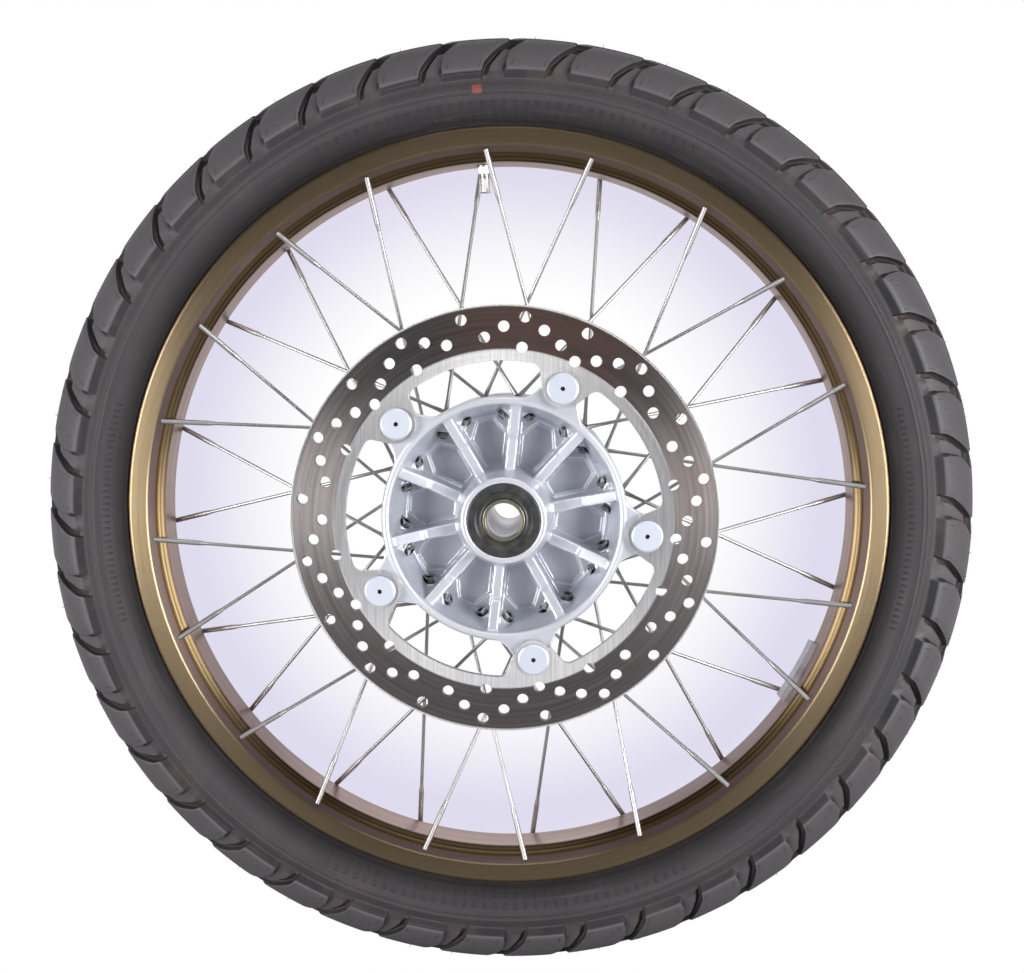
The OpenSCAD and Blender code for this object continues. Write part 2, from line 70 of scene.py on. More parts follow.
def new_object(name, points, faces, material, smooth_angle=35.0):
    """A mesh object that shades smooth except across edges sharper than smooth_angle."""
    mesh = bpy.data.meshes.new(name)
    mesh.from_pydata(points, [], faces)
    mesh.validate()
    mesh.materials.append(material)
    mesh.shade_smooth()
    mesh.set_sharp_from_angle(angle=math.radians(smooth_angle))
    obj = bpy.data.objects.new(name, mesh)
    bpy.context.scene.collection.objects.link(obj)
    return obj


def small_solids(name, solids, material, raised=0.0):
    """One mesh of many closed solids, each given as rings of corners from one end to the other."""
    points, faces = [], []
    for rings in solids:
        base, corners = len(points), len(rings[0])
        for ring in rings:
            points += ring
        for row in range(len(rings) - 1):
            for c in range(corners):
                a, b = base + row * corners + c, base + row * corners + (c + 1) % corners
                faces.append((a, b, b + corners, a + corners))
        faces.append(tuple(base + c for c in reversed(range(corners))))
        faces.append(tuple(len(points) - corners + c for c in range(corners)))
    obj = new_object(name, points, faces, material)
    skin = bmesh.new()
    skin.from_mesh(obj.data)
    bmesh.ops.recalc_face_normals(skin, faces=skin.faces)
    skin.to_mesh(obj.data)
    skin.free()
    attribute = obj.data.attributes.new("raised", "FLOAT", "POINT")
    attribute.data.foreach_set("value", [raised] * len(points))
    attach(obj, "wheel")


def rounded(corners, steps=4):
    """A polyline with its corners rounded; each corner is (r, z, rounding)."""
    out = []
    last = len(corners) - 1
    for i, (r, z, rounding) in enumerate(corners):
        here = Vector((r, z))
        if rounding <= 0 or i in (0, last):
            out.append((r, z))
            continue
        before = Vector(corners[i - 1][:2]) - here
        after = Vector(corners[i + 1][:2]) - here
        cut = min(rounding, before.length * 0.45, after.length * 0.45)
        a = here + before.normalized() * cut
        b = here + after.normalized() * cut
        for k in range(steps + 1):
            t = k / steps
            p = a * (1 - t) ** 2 + here * 2 * t * (1 - t) + b * t ** 2
            out.append((p.x, p.y))
    return out


def lathe(name, profile, material, segments, smooth_angle):
    """A closed profile turned about the axle."""
    rows = len(profile)
    points = []
    for k in range(segments):
        points += [place(r, 360 * k / segments, z) for r, z in profile]
    faces = []
    for k in range(segments):
        this, following = k * rows, (k + 1) % segments * rows
        for i in range(rows):
            j = (i + 1) % rows
            faces.append((this + i, this + j, following + j, following + i))
    return new_object(name, points, faces, material, smooth_angle)


# ---------------------------------------------------------------- material helpers


class Look:
    """A node material built up step by step round one Principled shader."""

    def __init__(self, name):
        self.material = bpy.data.materials.new(name)
        self.material.use_nodes = True
        self.tree = self.material.node_tree
        self.shader = self.tree.nodes["Principled BSDF"]
        self.where = self.tree.nodes.new("ShaderNodeTexCoord").outputs["Object"]

    def node(self, kind, **settings):
        made = self.tree.nodes.new(kind)
        for key, value in settings.items():
            setattr(made, key, value)
        return made

    def link(self, a, b):
        self.tree.links.new(a, b)

    def put(self, name, value):
        if isinstance(value, bpy.types.NodeSocket):
            self.link(value, self.shader.inputs[name])
        else:
            self.shader.inputs[name].default_value = value

    def math(self, operation, a, b=0.0):
        made = self.node("ShaderNodeMath", operation=operation)
        for socket, value in zip(made.inputs, (a, b)):
            if isinstance(value, bpy.types.NodeSocket):
                self.link(value, socket)
            else:
                socket.default_value = value
        return made.outputs[0]

    def noise(self, scale, detail=4.0, stretch=None):
        made = self.node("ShaderNodeTexNoise")
        made.inputs["Scale"].default_value = scale
        made.inputs["Detail"].default_value = detail
        made.inputs["Roughness"].default_value = 0.55
        self.link(self.where if stretch is None else stretch, made.inputs["Vector"])
        return made.outputs["Fac"]

    def band(self, value, low, high, to_low=0.0, to_high=1.0):
        """value mapped from low..high to to_low..to_high, held at both ends."""
        made = self.node("ShaderNodeMapRange")
        self.link(value, made.inputs["Value"])
        for key, number in zip(("From Min", "From Max", "To Min", "To Max"), (low, high, to_low, to_high)):
            made.inputs[key].default_value = number
        return made.outputs["Result"]

    def mix(self, fac, a, b):
        made = self.node("ShaderNodeMix", data_type="RGBA")
        if isinstance(fac, bpy.types.NodeSocket):
            self.link(fac, made.inputs["Factor"])
        else:
            made.inputs["Factor"].default_value = fac
        for socket, value in zip((made.inputs[6], made.inputs[7]), (a, b)):
            if isinstance(value, bpy.types.NodeSocket):
                self.link(value, socket)
            else:
                socket.default_value = (*value, 1.0)
        return made.outputs[2]

    def radius(self):
        """Distance from the axle line, in metres."""
        parts = self.node("ShaderNodeSeparateXYZ")
        self.link(self.where, parts.inputs[0])
        square = self.math("ADD", self.math("POWER", parts.outputs["X"], 2.0),
                           self.math("POWER", parts.outputs["Z"], 2.0))
        return self.math("SQRT", square)

    def turned(self, radius_scale, angle_scale=2.0, axial_scale=40.0):
        """Coordinates that run round the axle, so that noise on them draws lathe marks."""
        parts = self.node("ShaderNodeSeparateXYZ")
        self.link(self.where, parts.inputs[0])
        radius = self.radius()
        joined = self.node("ShaderNodeCombineXYZ")
        flat = self.math("DIVIDE", parts.outputs["X"], radius)
        upright = self.math("DIVIDE", parts.outputs["Z"], radius)
        self.link(self.math("ADD", self.math("MULTIPLY", radius, radius_scale),
                            self.math("MULTIPLY", parts.outputs["Y"], axial_scale)), joined.inputs["X"])
        self.link(self.math("MULTIPLY", flat, angle_scale), joined.inputs["Y"])
        self.link(self.math("MULTIPLY", upright, angle_scale), joined.inputs["Z"])
        return joined.outputs[0]

    def bump(self, height, distance, strength, bevel=0.0):
        """Fine surface marks; bevel also rounds the shading of sharp edges, by that radius."""
        made = self.node("ShaderNodeBump")
        made.inputs["Distance"].default_value = distance
        made.inputs["Strength"].default_value = strength
        self.link(height, made.inputs["Height"])
        if bevel > 0:
            soft = self.node("ShaderNodeBevel", samples=4)
            soft.inputs["Radius"].default_value = bevel
            self.link(soft.outputs[0], made.inputs["Normal"])
        self.link(made.outputs[0], self.shader.inputs["Normal"])

    def round_axle_tangent(self, amount, turned=1.0):
        """Brushed reflections: turned is 1 for marks that run round the axle, 0 for marks across them."""
        tangent = self.node("ShaderNodeTangent", direction_type="RADIAL", axis="Y")
        self.link(tangent.outputs[0], self.shader.inputs["Tangent"])
        self.put("Anisotropic", amount)
        self.put("Anisotropic Rotation", self.math("MULTIPLY", turned, 0.25))

    def toward(self, angle):
        """1 at one angle round the axle, falling to -1 on the opposite side."""
        a = math.radians(angle)
        parts = self.node("ShaderNodeSeparateXYZ")
        self.link(self.where, parts.inputs[0])
        along = self.math("ADD", self.math("MULTIPLY", parts.outputs["X"], math.cos(a)),
                          self.math("MULTIPLY", parts.outputs["Z"], math.sin(a)))
        return self.math("DIVIDE", along, self.radius())

    def stretched(self, x, y, z):
        """Object coordinates scaled unevenly, for straight brush marks."""
        mapping = self.node("ShaderNodeMapping")
        mapping.inputs["Scale"].default_value = (x, y, z)
        self.link(self.where, mapping.inputs["Vector"])
        return mapping.outputs[0]

    def ramp(self, value, stops):
        """value turned into colours; stops are (position, colour), at most 32 of them."""
        made = self.node("ShaderNodeValToRGB")
        self.link(value, made.inputs["Fac"])
        points = made.color_ramp.elements
        while len(points) < len(stops):
            points.new(1.0)
        for point, (position, color) in zip(points, stops):
            point.position = position
            point.color = (*color, 1.0)
        return made.outputs["Color"]

    def hollows(self, distance):
        """About 1 deep inside a hollow and 0 in the open."""
        made = self.node("ShaderNodeAmbientOcclusion", samples=6)
        made.inputs["Distance"].default_value = distance
        return self.band(made.outputs["AO"], 0.35, 0.8, 1.0, 0.0)

    def ridges(self):
        """About 1 on rounded outward edges of a finely divided mesh."""
        geometry = self.node("ShaderNodeNewGeometry")
        return self.band(geometry.outputs["Pointiness"], 0.505, 0.56)

    def edges(self, radius):
        """About 1 on sharp edges and 0 on flat faces."""
        soft = self.node("ShaderNodeBevel", samples=4)
        soft.inputs["Radius"].default_value = radius
        geometry = self.node("ShaderNodeNewGeometry")
        dot = self.node("ShaderNodeVectorMath", operation="DOT_PRODUCT")
        self.link(soft.outputs[0], dot.inputs[0])
        self.link(geometry.outputs["Normal"], dot.inputs[1])
        return self.band(dot.outputs["Value"], 0.98, 0.8)


# the small paint dot on the tyre: its angle, and the radii in metres between which each edge fades
DOT_ANGLE = 93.7
DOT_IN, DOT_OUT = (0.3005, 0.3020), (0.3085, 0.3070)

# the disc's swept band: the radii in metres between which each edge fades
SWEPT_IN, SWEPT_OUT = (0.1208, 0.1222), (0.1518, 0.1506)


def paint_dot(look):
    """Mask of the small paint dot that marks the tyre's light spot, on the disc side."""
    parts = look.node("ShaderNodeSeparateXYZ")
    look.link(look.where, parts.inputs[0])
    radius = look.radius()
    dot = look.band(look.toward(DOT_ANGLE), 0.99992, 0.99996)
    dot = look.math("MULTIPLY", dot, look.band(radius, *DOT_IN))
    dot = look.math("MULTIPLY", dot, look.band(radius, *DOT_OUT))
    return look.math("MULTIPLY", dot, look.band(parts.outputs["Y"], -0.02, -0.03, 0.0, 0.7))


def rubber_look(name, floor, dust, land, wall, pad):
    """Rubber coloured by the raised attribute: groove floor, land, block wall painted dark as shade, pad
    top with a painted highlight on its edge.
    """
    look = Look(name)
    raised = look.node("ShaderNodeAttribute", attribute_name="raised").outputs["Fac"]
    cloud = look.noise(9.0, 6.0)
    grain = look.noise(900.0, 3.0)
    # the pads' lighter edge colour is a painted highlight on their worn edges, and wall paints shade on the
    # block walls
    dusty, edge_wear_and_highlight = tuple(1.9 * c for c in land), tuple(1.35 * c for c in pad)
    body = look.ramp(raised, [(0.0, floor), (0.07, floor), (0.14, dust), (0.21, dusty), (0.28, land),
                              (0.34, land), (0.42, wall), (0.8, wall), (0.91, edge_wear_and_highlight), (1.0, pad)])
    dirt = look.noise(38.0, 5.0)
    earth = (0.088, 0.062, 0.05)
    body = look.mix(look.band(dirt, 0.5, 0.72, 0.0, 0.4), body, earth)
    body = look.mix(look.band(cloud, 0.35, 0.75, 0.0, 0.3), body, tuple(1.5 * c for c in land))
    # painted shade: the sidewall turns darker towards the bead beside the rim
    painted_shade_near_bead = look.band(look.radius(), 0.2835, 0.306, 0.75, 0.0)
    body = look.mix(painted_shade_near_bead, body, wall)
    mould = look.noise(1.0, 3.0, look.turned(900.0, 3.0, 500.0))
    body = look.mix(look.band(mould, 0.58, 0.7, 0.0, 0.35), body, pad)
    red = (0.3, 0.07, 0.06)
    look.put("Base Color", look.mix(paint_dot(look), body, red))
    look.put("Roughness", look.band(cloud, 0.3, 0.7, 0.48, 0.66))
    look.put("Specular IOR Level", 0.42)
    look.bump(grain, 0.0002, 0.5)
    return look.material


def metal_look(name, color, darker, roughness, grain=300.0, depth=0.00004, bevel=0.0004, edge_wear_and_highlight=None,
               metallic=1.0, hollow=0.0):
    """Cloudy metal; worn colours its sharp edges with edge wear and a painted highlight, and hollow paints
    shade in hollows about that deep.
    """
    look = Look(name)
    cloud = look.noise(28.0, 5.0)
    body = look.mix(look.band(cloud, 0.3, 0.7), color, darker)
    # painted highlight on the sharp edges, mixed with edge wear
    if edge_wear_and_highlight is not None:
        body = look.mix(look.math("MULTIPLY", look.edges(bevel * 2), 0.7), body, edge_wear_and_highlight)
    # painted shade in the hollows
    if hollow > 0:
        body = look.mix(look.hollows(hollow), body, (0.03, 0.028, 0.027))
    look.put("Base Color", body)
    look.put("Metallic", metallic)
    look.put("Roughness", look.band(cloud, 0.3, 0.7, roughness * 0.85, roughness * 1.15))
    look.bump(look.noise(grain * 4, 3.0), depth, 0.6, bevel)
    return look.material


def rim_look():
    """Bronze anodising: gold on the turned bands and mauve-grey on the slopes between them, with a painted
    highlight on sharp edges.
    """
    look = Look("bronze_anodising")
    rings = look.noise(1.0, 4.0, look.turned(900.0, 1.2, 300.0))
    cloud = look.noise(7.0, 4.0)
    gold, ledge, shade = (0.345, 0.262, 0.155), (0.16, 0.115, 0.05), (0.055, 0.035, 0.025)
    mauve, rust, well = (0.24, 0.175, 0.165), (0.26, 0.12, 0.05), (0.4, 0.3, 0.285)
    lip = (0.55, 0.33, 0.18)
    inner = 256.0
    reach = look.band(look.radius(), inner * MM, RIM_R * MM)

    def at(r):
        """Share of the way from the inner radius to the rim's outer edge."""
        return (r - inner) / (RIM_R - inner)

    body = look.ramp(reach, [(0.0, well), (at(257.8), well), (at(258.3), shade), (at(258.9), shade),
                             (at(259.5), ledge), (at(260.3), ledge), (at(260.8), shade), (at(261.4), shade),
                             (at(261.9), ledge), (at(263.1), ledge), (at(263.7), shade), (at(264.1), rust),
                             (at(264.7), mauve), (at(267.2), mauve), (at(268.0), gold),
                             (at(RIM_R - 1.0), gold), (at(RIM_R - 0.5), lip)])
    body = look.mix(look.band(rings, 0.35, 0.75, 0.0, 0.35), body, (0.22, 0.15, 0.09))
    body = look.mix(look.band(cloud, 0.45, 0.75, 0.0, 0.3), body, (0.24, 0.16, 0.1))
    # painted highlight on the sharp edges
    edge = look.math("MULTIPLY", look.edges(0.0009), 0.8)
    body = look.mix(edge, body, (0.85, 0.74, 0.55))
    look.put("Base Color", body)
    look.put("Metallic", 1.0)
    look.put("Roughness", look.band(rings, 0.3, 0.7, 0.28, 0.38))
    look.round_axle_tangent(0.82)
    look.bump(rings, 0.00003, 0.4)
    return look.material


def disc_look():
    """Ground steel: a dark swept band with the pads' marks, bright brushed steel inside it."""
    look = Look("ground_steel")
    radius = look.radius()
    fine = look.noise(1.0, 5.0, look.turned(2600.0, 1.6, 900.0))
    wide = look.noise(1.0, 3.0, look.turned(420.0, 0.8, 200.0))
    cloud = look.noise(11.0, 5.0)
    brushed = look.noise(1.0, 3.0, look.stretched(900.0, 200.0, 24.0))
    swept = look.math("MULTIPLY", look.band(radius, *SWEPT_IN), look.band(radius, *SWEPT_OUT))
    dark = look.mix(look.band(wide, 0.3, 0.7), (0.185, 0.166, 0.164), (0.3, 0.272, 0.265))
    dark = look.mix(look.band(cloud, 0.5, 0.75, 0.0, 0.3), dark, (0.24, 0.17, 0.14))
    warm_side = look.band(look.toward(78), 0.8, 0.98)
    heated = look.math("MULTIPLY", warm_side, look.band(wide, 0.25, 0.6, 0.3, 0.9))
    dark = look.mix(heated, dark, (0.36, 0.225, 0.18))
    bright = look.mix(look.band(brushed, 0.3, 0.7), (0.68, 0.665, 0.66), (0.92, 0.91, 0.91))
    look.put("Base Color", look.mix(swept, bright, dark))
    look.put("Metallic", 1.0)
    look.put("Roughness", look.math("ADD", look.band(fine, 0.25, 0.75, 0.26, 0.4),
                                    look.band(swept, 0.0, 1.0, 0.06, 0.0)))
    look.round_axle_tangent(look.band(swept, 0.0, 1.0, 0.5, 0.75), swept)
    look.bump(fine, 0.00003, 0.5, 0.0003)
    return look.material


def paint_look():
    """Silver paint on a casting, brighter on the rounded edges with a painted highlight and greyer in the
    hollows with painted shade.
    """
    look = Look("silver_paint")
    cloud = look.noise(14.0, 5.0)
    casting = look.noise(1500.0, 2.0)
    flake = look.noise(6000.0, 2.0)
    body = look.mix(look.band(cloud, 0.3, 0.7), (0.61, 0.625, 0.685), (0.67, 0.69, 0.75))
    body = look.mix(look.band(flake, 0.55, 0.8, 0.0, 0.5), body, (0.86, 0.88, 0.92))
    # painted shade in the hollows
    body = look.mix(look.math("MULTIPLY", look.hollows(0.03), 0.12), body, (0.2, 0.2, 0.235))
    # painted highlight on the rounded edges
    body = look.mix(look.math("MULTIPLY", look.ridges(), 0.9), body, (0.95, 0.96, 1.0))
    look.put("Base Color", body)
    look.put("Metallic", 0.5)
    look.put("Roughness", look.band(cloud, 0.3, 0.7, 0.3, 0.38))
    look.put("Coat Weight", 0.25)
    look.put("Coat Roughness", 0.12)
    look.bump(casting, 0.00006, 0.35)
    return look.material


def seal_look():
    """Black rubber with faint rings and a little dust."""
    look = Look("seal_rubber")
    rings = look.noise(1.0, 3.0, look.turned(1500.0, 0.8))
    cloud = look.noise(120.0, 4.0)
    look.put("Base Color", look.mix(look.band(cloud, 0.4, 0.7), (0.018, 0.018, 0.02), (0.05, 0.048, 0.045)))
    look.put("Roughness", look.band(rings, 0.3, 0.7, 0.3, 0.5))
    look.bump(rings, 0.00008, 0.6, 0.0003)
    return look.material


# ---------------------------------------------------------------- tyre

BLOCKS = 44
PITCH = 360 / BLOCKS
CROWN_R = 46.0
CROWN_CENTRE = TYRE_R - CROWN_R
LAND_IN, LAND_OUT = 41.0, 44.4        # land level at the shoulder and near the crown
GROOVE_LEVEL = 40.2
VALLEY = 76.0                         # crown angle of the valley below the shoulder pads
FLOOR_HALF, TOP_HALF = 0.22, 0.42     # half widths of a groove at its floor and top, in degrees of turn
PAD_HIGH = 5.46                       # the pad's far edge, from the groove before it
PAD_BEVEL = 0.16
EDGE_DROP = 0.5                       # a pad's worn edge, below its top
LAND_END = 41.0                       # crown angle where the land between two pads drops into the channel
WALL_TOP = 67.5                       # crown angle of the pads' inner edge
CHANNEL_OUT, CHANNEL_IN = 23.0, 18.0  # crown angles of the channel beside the middle rib
RIB_EDGE = 17.0                       # crown angle of the middle rib's edge
TREAD_START = 2.8                     # angle of the first groove at its foot
FOOT_SPAN, SLANT_SPAN = 15.0, 33.0    # crown degrees taken up by a groove's foot and by its slant
FOOT_LEAN, SLANT_LEAN = 0.04, 0.088   # how far each leans back, in degrees of turn per crown degree

# values of the raised attribute, which colours the rubber; EDGE_TONE picks the pads' painted edge
# highlight, and between it and LAND_TONE lies the painted shade of the block walls
FLOOR_TONE, LAND_TONE, EDGE_TONE, PAD_TONE = 0.0, 0.3, 0.9, 1.0


def side_shift(side):
    """The far side's blocks sit half a pitch further round."""
    return 0.0 if side > 0 else PITCH / 2


def groove_turn(crown):
    """Angle of the first groove's middle line round the wheel, at one crown angle."""
    foot = min(VALLEY - crown, FOOT_SPAN)
    slant = min(max(VALLEY - FOOT_SPAN - crown, 0.0), SLANT_SPAN)
    return TREAD_START - FOOT_LEAN * foot - SLANT_LEAN * slant


def land_level(crown):
    """Level of the land between two pads, rising from the shoulder towards the crown."""
    t = min(max((VALLEY - crown) / 40, 0), 1)
    return LAND_IN + (LAND_OUT - LAND_IN) * t


def tread_columns(crown):
    """(angle, level, raised) of each grid column at one crown angle, for one pitch."""
    g = groove_turn(crown)
    pad_low = g + TOP_HALF
    # the pad widens from its inner edge towards the crown
    pad_high = g + PAD_HIGH + 0.055 * min(max(WALL_TOP - crown, 0.0), 20.0)
    after = g + PITCH - TOP_HALF
    land, tone = land_level(crown), LAND_TONE
    if crown < LAND_END:
        land, tone = GROOVE_LEVEL + 0.6, FLOOR_TONE
    elif crown < WALL_TOP:
        tone = 0.25 - 0.04 * (WALL_TOP - crown) / (WALL_TOP - LAND_END)
    # the wall behind the pad is steep, and leans more near the shoulder
    wall = 0.28 + 0.3 * min(max((crown - 58) / 8, 0), 1)
    columns = [(g - FLOOR_HALF, GROOVE_LEVEL, FLOOR_TONE),
               (g + FLOOR_HALF, GROOVE_LEVEL, FLOOR_TONE),
               (pad_low, CROWN_R - EDGE_DROP, EDGE_TONE)]
    first, last = pad_low + PAD_BEVEL, pad_high - PAD_BEVEL
    columns += [(first + (last - first) * k / 6, CROWN_R, PAD_TONE) for k in range(7)]
    columns += [(pad_high, CROWN_R - 0.4, EDGE_TONE),
                (pad_high + wall, land, tone + 0.02),
                (pad_high + wall + (after - pad_high - wall) * 0.5, land, tone),
                (after, land - 0.2, tone)]
    return columns


def tread_point(crown, column, side, block):
    """(angle, r, z, raised) of one grid column, on one side of one block."""
    angle, level, raised = column
    if crown >= VALLEY:
        level, raised = LAND_IN, LAND_TONE
    elif crown > WALL_TOP:
        level, raised = min(level, CROWN_R - EDGE_DROP), min(raised, 0.92)
    if CHANNEL_OUT > crown > CHANNEL_IN:
        level, raised = GROOVE_LEVEL + 0.8, FLOOR_TONE
    elif crown <= CHANNEL_IN:
        level = CROWN_R - (0.9 if level < CROWN_R - 1 else 0.0)
        raised = EDGE_TONE
    shift = side_shift(side)
    if crown < RIB_EDGE:
        shift = PITCH / 4 * (1 - side * crown / RIB_EDGE)
    c = math.radians(crown)
    turned = angle + shift + block * PITCH
    return turned, CROWN_CENTRE + level * math.cos(c), side * level * math.sin(c), raised


# crown angles of the tread's rings, close together where its level changes
CROWN_ROWS = [VALLEY, 68.2, 66.8, 64, 61, 58, 54, 50, 46, 42.4, 40.4, 37, 34, 30, 27,
              24.8, 23.9, 22.4, 18.6, 17.6, 16.4, 12, 8, 4, 0]

# the disc-side sidewall, from the bead toe up to the valley below the pads: (r, z, rounding)
BEAD = [(267.9, 13, 0), (267.9, 20.5, 1), (270.5, 23.2, 1), (281.2, 23.3, 1.0), (283.8, 25.4, 1.5)]
BULGE = [(285.6, 30.4, 3), (290.2, 37.0, 4), (297.0, 42.4, 2.0)]
INNER_LINE = [(300.7, 43.4, 0.4), (301.1, 44.2, 0.3), (301.8, 44.2, 0.3), (302.2, 43.7, 0.3)]
OUTER_LINE = [(303.8, 43.8, 0.4), (304.2, 44.4, 0.3), (304.8, 44.4, 0.3), (305.2, 43.9, 0.3)]
SHOULDER = [(306.8, 43.0, 1), (308.8, 41.3, 1), (310.6, 40.2, 0)]
SIDEWALL = rounded(BEAD + BULGE + INNER_LINE + OUTER_LINE + SHOULDER, 3)

# half of the hollow inside the tyre, from the bead to the crown: (r, z)
CAVITY = [(268.4, 12), (271, 11.5), (278, 18.5), (286, 27), (293, 34.5),
          (303, 37.5), (318, 34), (331, 23.5), (338, 10), (339.5, 0)]


def tyre_rows():
    """Rings of the tyre skin in order round its section; a tread ring holds its crown angle and side."""
    rows = [("plain", r, z) for r, z in SIDEWALL]
    rows += [("tread", crown, 1) for crown in CROWN_ROWS]
    rows += [("tread", crown, -1) for crown in reversed(CROWN_ROWS[:-1])]
    rows += [("plain", r, -z) for r, z in reversed(SIDEWALL)]
    rows += [("plain", r, -z) for r, z in CAVITY[:-1]]
    rows += [("plain", r, z) for r, z in reversed(CAVITY)]
    return rows


def build_tyre(material):
    """The whole rubber skin, one grid of rings by columns joined up both ways."""
    rows = tyre_rows()
    valley = tread_columns(VALLEY)
    per_pitch = len(valley)
    total = BLOCKS * per_pitch
    points, raised = [], []
    for kind, first, second in rows:
        for block in range(BLOCKS):
            if kind == "tread":
                for column in tread_columns(first):
                    angle, r, z, high = tread_point(first, column, second, block)
                    points.append(place(r, angle, z))
                    raised.append(high)
            else:
                for column in valley:
                    angle = column[0] + side_shift(second) + block * PITCH
                    points.append(place(first, angle, second))
                    raised.append(LAND_TONE)
    faces = []
    for i in range(len(rows)):
        j = (i + 1) % len(rows)
        for k in range(total):
            m = (k + 1) % total
            faces.append((i * total + k, j * total + k, j * total + m, i * total + m))
    tyre = new_object("tyre_rubber", points, faces, material, 38)
    attribute = tyre.data.attributes.new("raised", "FLOAT", "POINT")
    attribute.data.foreach_set("value", raised)
    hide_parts("tyre")
    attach(tyre, "wheel")


def on_crown(angle, crown, level, side):
    """A point above the tread's centre of curvature, at one level and crown angle."""
    c = math.radians(crown)
    return place(CROWN_CENTRE + level * math.cos(c), angle, side * level * math.sin(c))


# moulding hairs: where they may stand on a block (crown angle, turn), and their half widths in metres
HAIR_PLACES = ((27.0, 1.0), (34.0, -2.0), (60.0, 3.2), (10.0, 2.0))
HAIRS_MISSING = 0.35                  # share of the places left empty
HAIR_ROOT, HAIR_TIP = 0.28 * MM, 0.05 * MM


def build_hairs(material):
    """Moulding hairs on the pads, each a thin spike that leans at random."""
    along = Vector((0, 1, 0))
    hairs = []
    for block in range(BLOCKS):
        for crown, turn in HAIR_PLACES:
            if random.random() < HAIRS_MISSING:
                continue
            for side in (1, -1):
                angle = block * PITCH + TREAD_START + turn + random.uniform(-0.3, 0.3) + side_shift(side)
                lean = Vector((random.uniform(-0.5, 0.5), -0.6 * side * math.sin(math.radians(crown)),
                               random.uniform(-0.5, 0.5)))
                length = random.uniform(1.4, 3.0) * MM
                root = Vector(on_crown(angle, crown, CROWN_R - 0.4, side))
                out = Vector((root.x, 0, root.z)).normalized()
                across = out.cross(along)
                tip = root + (out + lean).normalized() * length
                rings = []
                for centre, width in ((root, HAIR_ROOT), (tip, HAIR_TIP)):
                    rings.append([centre + along * width, centre + across * width,
                                  centre - along * width, centre - across * width])
                hairs.append(rings)
    small_solids("tyre_hairs", hairs, material)


# the thin cuts of each shoulder pad: (turn from the groove, lowest and highest crown angle)
SIPES = ((0.8, 58.0, 65.5), (4.95, 57.0, 65.0))
SIPE_STEPS = 5
SIPE_HALF = 0.05                      # half width at the wide end, in degrees of turn
SIPE_PROUD, SIPE_DEEP = 0.03, 0.8     # how far a cut's solid reaches above and below the pad


def build_sipes(material):
    """Short thin cuts in the shoulder pads, drawn as dark slivers set into the rubber, a painted shadow
    inside each cut.
    """
    top, bottom = CROWN_R + SIPE_PROUD, CROWN_R - SIPE_DEEP
    sipes = []
    for block in range(BLOCKS):
        for side in (1, -1):
            shift = block * PITCH + side_shift(side)
            for turn, low, high in SIPES:
                rings = []
                for k in range(SIPE_STEPS + 1):
                    share = k / SIPE_STEPS
                    crown = low + (high - low) * share
                    angle = shift + turn + groove_turn(crown) + 0.05 * math.sin(3.0 * share)
                    width = SIPE_HALF * (0.35 + 0.65 * share)
                    rings.append([on_crown(angle - width, crown, top, side),
                                  on_crown(angle + width, crown, top, side),
                                  on_crown(angle + width / 3, crown, bottom, side),
                                  on_crown(angle - width / 3, crown, bottom, side)])
                sipes.append(rings)
    small_solids("tyre_sipes", sipes, material)


# rows of sidewall bars: (middle angle, spread each way, inner and outer radius, step between bars)
BAR_ROWS = ((90, 27, 287.0, 296.5, 1.5), (270, 27, 287.0, 296.5, 1.5),
            (0, 16, 292.0, 296.0, 0.9), (180, 16, 292.0, 296.0, 0.9))
BAR_RISE = 0.75
BAR_SLOPE = 0.5                       # length of the slope at each end of a bar
BAR_ROOT = 0.5                        # how deep a bar is sunk into the wall


def wall_z(r):
    """Height of the sidewall at one radius, between its bulge and its outer valley."""
    for (r_low, z_low), (r_high, z_high) in zip(SIDEWALL, SIDEWALL[1:]):
        if r_low <= r < r_high:
            return z_low + (z_high - z_low) * (r - r_low) / (r_high - r_low)
    return SIDEWALL[-1][1]


def build_bars(material):
    """Plain moulded bars on the sidewalls: tall ones at the top and bottom, short ones at the sides."""
    bars = []
    for middle, spread, inner, outer, step in BAR_ROWS:
        wide = step * 0.22
        narrow = wide * 0.6
        ends = ((inner, 0.0), (inner + BAR_SLOPE, BAR_RISE), (outer - BAR_SLOPE, BAR_RISE), (outer, 0.0))
        for k in range(int(2 * spread / step) + 1):
            angle = middle - spread + k * step
            for side in (1, -1):
                rings = []
                for r, rise in ends:
                    top = side * (wall_z(r) + rise)
                    foot = side * (wall_z(r) - BAR_ROOT)
                    rings.append([place(r, angle - wide, foot), place(r, angle - narrow, top),
                                  place(r, angle + narrow, top), place(r, angle + wide, foot)])
                bars.append(rings)
    small_solids("tyre_bars", bars, material, LAND_TONE)


# ---------------------------------------------------------------- rim

# half of the rim's section: up its open face, over the lip, and back under the tyre: (r, z, rounding)
RIM_FACE = [(257.6, 0, 0), (257.6, 13.5, 2.0), (262.5, 16, 1.6), (268, 26, 1.4)]
RIM_LIP = [(RIM_R - 1.8, 27.5, 1.2), (RIM_R, 26.6, 0.8), (RIM_R, 24.4, 0.8), (RIM_R - 1.8, 23.4, 0.8)]
RIM_SEAT = [(270.5, 23.4, 0.8), (267.6, 20.5, 0.5), (267.6, 12, 0.5), (260.6, 8, 1), (260.6, 0, 0)]


def build_rim(material):
    """The rim's visible shell, turned about the axle."""
    half = rounded(RIM_FACE + RIM_LIP + RIM_SEAT, 5)
    profile = half + [(r, -z) for r, z in reversed(half[1:-1])]
    rim = lathe("rim_shell", profile, material, segments=360, smooth_angle=50)
    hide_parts("rim")
    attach(rim, "wheel")


# ---------------------------------------------------------------- finishes for the CAD nodes


def finish_node(node, material):
    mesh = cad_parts[node].data
    mesh.materials.clear()
    mesh.materials.append(material)


